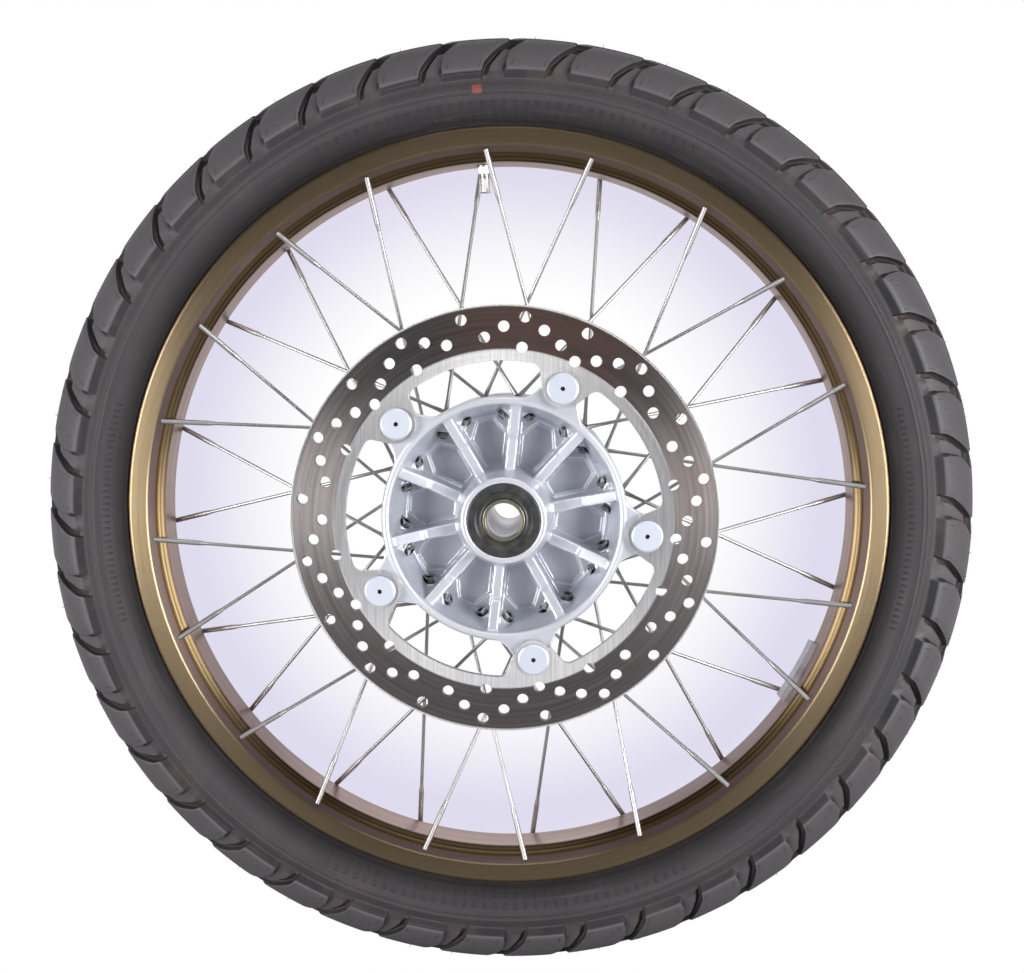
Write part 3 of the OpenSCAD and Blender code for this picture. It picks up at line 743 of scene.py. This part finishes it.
def soften_casting(node, voxel, passes):
    """Rounds every edge of a cast piece by rebuilding its skin in small cells and relaxing it."""
    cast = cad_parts[node]
    skin = cast.modifiers.new("skin", "REMESH")
    skin.mode = "VOXEL"
    skin.voxel_size = voxel
    skin.use_smooth_shade = True
    relax = cast.modifiers.new("relax", "SMOOTH")
    relax.factor = 0.5
    relax.iterations = passes


def finish_cad_nodes():
    """Gives every CAD node that stays visible its material."""
    soften_casting("hub", voxel=0.0008, passes=4)
    steel = metal_look("spoke_stainless", (0.54, 0.53, 0.52), (0.44, 0.43, 0.42), 0.44,
                       grain=60.0, depth=0.000002, bevel=0.0)
    nipple = metal_look("nipple_steel", (0.3, 0.29, 0.29), (0.17, 0.16, 0.155), 0.27, bevel=0.0003,
                        edge_wear_and_highlight=(0.8, 0.8, 0.8), hollow=0.003)
    zinc = metal_look("zinc_plate", (0.70, 0.74, 0.83), (0.60, 0.64, 0.73), 0.42, grain=500.0,
                      edge_wear_and_highlight=(0.92, 0.94, 1.0), metallic=0.45, hollow=0.004)
    bearing = metal_look("bearing_steel", (0.6, 0.6, 0.62), (0.5, 0.5, 0.52), 0.24)
    collar = metal_look("collar_steel", (0.42, 0.39, 0.3), (0.3, 0.27, 0.2), 0.34,
                        edge_wear_and_highlight=(0.72, 0.68, 0.56))
    sleeve = metal_look("sleeve_aluminium", (0.66, 0.66, 0.7), (0.56, 0.56, 0.6), 0.35)
    nickel = metal_look("nickel", (0.6, 0.57, 0.5), (0.46, 0.43, 0.36), 0.38, edge_wear_and_highlight=(0.7, 0.66, 0.58))
    brass = metal_look("brass", (0.72, 0.52, 0.22), (0.5, 0.34, 0.14), 0.3)
    chrome = metal_look("chrome", (0.6, 0.585, 0.57), (0.46, 0.45, 0.44), 0.34)
    weight = metal_look("weight_coat", (0.52, 0.5, 0.54), (0.44, 0.42, 0.46), 0.5, metallic=0.3,
                        edge_wear_and_highlight=(0.75, 0.74, 0.78))
    seal = seal_look()
    paint = paint_look()
    disc = disc_look()
    chosen = {"hub": paint, "brake_disc": disc, "disc_bolts": zinc, "spokes_disc_edge": steel,
              "spokes_plain_edge": steel, "nipples_disc_side": nipple, "nipples_plain_side": nipple,
              "distance_sleeve": sleeve, "valve_stem": nickel, "valve_nut": chrome, "valve_core": brass,
              "valve_pin": brass, "valve_cap": chrome, "valve_seal": seal, "balance_weight": weight}
    for side in ("disc_side", "plain_side"):
        for node in ("outer_race", "inner_race", "bearing_balls"):
            chosen[node + "_" + side] = bearing
        for node in ("shaft_seal", "bearing_shields"):
            chosen[node + "_" + side] = seal
        chosen["bearing_cage_" + side] = brass
        chosen["axle_collar_" + side] = collar
    for node, material in chosen.items():
        finish_node(node, material)


# ---------------------------------------------------------------- studio


def area_light(name, where, size, power):
    """A soft box that faces the wheel's centre."""
    data = bpy.data.lights.new(name, "AREA")
    data.shape = "RECTANGLE"
    data.size, data.size_y = size
    data.energy = power
    light = bpy.data.objects.new(name, data)
    light.location = where
    light.rotation_mode = "QUATERNION"
    light.rotation_quaternion = (-Vector(where)).to_track_quat("-Z", "Y")
    bpy.context.scene.collection.objects.link(light)


def pale_shade(look):
    """White, with a soft lavender shade where the main camera looks through the wheel."""
    geometry = look.node("ShaderNodeNewGeometry")
    # how nearly the line of sight points at the middle of the wheel
    toward = look.node("ShaderNodeVectorMath", operation="DOT_PRODUCT")
    look.link(geometry.outputs["Incoming"], toward.inputs[0])
    toward.inputs[1].default_value = (Vector(CAMERA_AT) - Vector(SHADE_CENTRE)).normalized()
    white, lavender = (1.0, 1.0, 1.0), (0.74, 0.715, 0.86)
    # degrees away from the middle of the wheel, and the colour there
    stops = [(17.0, white), (14.8, lavender), (13.2, lavender), (9.0, white)]
    shade = look.ramp(toward.outputs["Value"], [(math.cos(math.radians(a)), color) for a, color in stops])
    # the shade is left out for a camera that stands elsewhere
    way_back = look.node("ShaderNodeVectorMath", operation="SCALE")
    look.link(geometry.outputs["Incoming"], way_back.inputs[0])
    look.link(look.node("ShaderNodeLightPath").outputs["Ray Length"], way_back.inputs["Scale"])
    eye = look.node("ShaderNodeVectorMath", operation="ADD")
    look.link(geometry.outputs["Position"], eye.inputs[0])
    look.link(way_back.outputs[0], eye.inputs[1])
    gap = look.node("ShaderNodeVectorMath", operation="DISTANCE")
    look.link(eye.outputs[0], gap.inputs[0])
    gap.inputs[1].default_value = CAMERA_AT
    return look.mix(look.band(gap.outputs["Value"], 0.1, 0.2), shade, white)


def build_world():
    """White for the camera; as a light, dim in front of the wheel and bright behind it."""
    world = bpy.data.worlds.new("studio")
    bpy.context.scene.world = world
    world.use_nodes = True
    tree = world.node_tree
    output = tree.nodes["World Output"]
    lit = tree.nodes["Background"]
    lit.inputs["Color"].default_value = (0.95, 0.945, 1.0, 1)
    parts = tree.nodes.new("ShaderNodeSeparateXYZ")
    tree.links.new(tree.nodes.new("ShaderNodeTexCoord").outputs["Generated"], parts.inputs[0])
    depth = tree.nodes.new("ShaderNodeMapRange")
    tree.links.new(parts.outputs["Y"], depth.inputs["Value"])
    for key, number in (("From Min", -0.2), ("From Max", 0.5), ("To Min", 0.13), ("To Max", 0.68)):
        depth.inputs[key].default_value = number
    tree.links.new(depth.outputs["Result"], lit.inputs["Strength"])
    seen = tree.nodes.new("ShaderNodeBackground")
    seen.inputs["Color"].default_value = (1, 1, 1, 1)
    blend = tree.nodes.new("ShaderNodeMixShader")
    tree.links.new(tree.nodes.new("ShaderNodeLightPath").outputs["Is Camera Ray"], blend.inputs[0])
    tree.links.new(lit.outputs[0], blend.inputs[1])
    tree.links.new(seen.outputs[0], blend.inputs[2])
    tree.links.new(blend.outputs[0], output.inputs["Surface"])


REACH = 7.0                           # half the side of the floor
CORNERS = [(-REACH, -REACH), (REACH, -REACH), (REACH, REACH), (-REACH, REACH)]


def build_floor():
    """A pale floor that the camera sees as white, with the shade that it sees through the wheel."""
    look = Look("pale_floor")
    cloud = look.noise(1.2, 2.0)
    diffuse = look.node("ShaderNodeBsdfDiffuse")
    diffuse.inputs["Color"].default_value = (0.45, 0.455, 0.47, 1)
    look.link(look.band(cloud, 0.2, 0.8, 0.3, 0.6), diffuse.inputs["Roughness"])
    seen = look.node("ShaderNodeEmission")
    look.link(pale_shade(look), seen.inputs["Color"])
    path = look.node("ShaderNodeLightPath")
    parts = look.node("ShaderNodeSeparateXYZ")
    look.link(look.where, parts.inputs[0])
    # shiny parts see the floor behind the wheel as bright as the backdrop
    behind = look.band(parts.outputs["Y"], 0.1, 0.5, 0.0, 0.8)
    mirrored = look.math("MULTIPLY", path.outputs["Is Glossy Ray"], behind)
    blend = look.node("ShaderNodeMixShader")
    look.link(look.math("MAXIMUM", path.outputs["Is Camera Ray"], mirrored), blend.inputs[0])
    look.link(diffuse.outputs[0], blend.inputs[1])
    look.link(seen.outputs[0], blend.inputs[2])
    look.link(blend.outputs[0], look.tree.nodes["Material Output"].inputs["Surface"])
    floor = new_object("floor", [(x, y, FLOOR_Z) for x, y in CORNERS], [(0, 1, 2, 3)], look.material)


def build_backdrop():
    """Walls that only the camera sees, which carry the shade on above the floor."""
    look = Look("backdrop_walls")
    glow = look.node("ShaderNodeEmission")
    look.link(pale_shade(look), glow.inputs["Color"])
    look.link(glow.outputs[0], look.tree.nodes["Material Output"].inputs["Surface"])
    points = [(x, y, z) for z in (FLOOR_Z - 0.1, REACH) for x, y in CORNERS]
    faces = [(k, (k + 1) % 4, (k + 1) % 4 + 4, k + 4) for k in range(4)]
    backdrop = new_object("backdrop", points, faces, look.material)
    for kind in ("diffuse", "glossy", "transmission", "volume_scatter", "shadow"):
        setattr(backdrop, "visible_" + kind, False)


def build_lights():
    area_light("left_box", (-1.35, -1.25, -0.05), (0.8, 1.0), 34)
    area_light("right_box", (1.35, -1.2, 0.05), (0.8, 1.0), 38)
    area_light("top_box", (0.1, -1.1, 1.7), (1.4, 0.8), 7)
    area_light("back_box", (0.2, 2.0, 1.4), (1.8, 1.2), 8)


def build_camera():
    """The main camera, at the photo's angle, with the horizon level."""
    bpy.context.scene.view_settings.view_transform = "Standard"
    data = bpy.data.cameras.new("camera")
    data.sensor_width = 36
    data.lens = CAMERA_LENS
    data.clip_start, data.clip_end = 0.02, 100
    camera = bpy.data.objects.new("camera", data)
    forward = Vector(CAMERA_LOOKS).normalized()
    right = forward.cross(Vector((0, 0, 1))).normalized()
    up = right.cross(forward)
    turn = Matrix((right, up, -forward)).transposed().to_4x4()
    camera.matrix_world = Matrix.Translation(CAMERA_AT) @ turn
    bpy.context.scene.collection.objects.link(camera)
    bpy.context.scene.camera = camera


# wall is painted shade on the block walls
rubber = rubber_look("tyre_rubber", floor=(0.012, 0.009, 0.009), dust=(0.11, 0.064, 0.047),
                     land=(0.044, 0.04, 0.043), wall=(0.010, 0.009, 0.011), pad=(0.075, 0.069, 0.076))
# dark rubber that paints the shadow inside the cuts; the hairs are made of it too
slit = rubber_look("sipe_shadow", floor=(0.012, 0.011, 0.011), dust=(0.02, 0.016, 0.014),
                   land=(0.016, 0.014, 0.014), wall=(0.01, 0.009, 0.009), pad=(0.014, 0.012, 0.012))
build_tyre(rubber)
build_hairs(slit)
build_sipes(slit)
build_bars(rubber)
build_rim(rim_look())
finish_cad_nodes()
build_world()
build_floor()
build_backdrop()
build_lights()
build_camera()
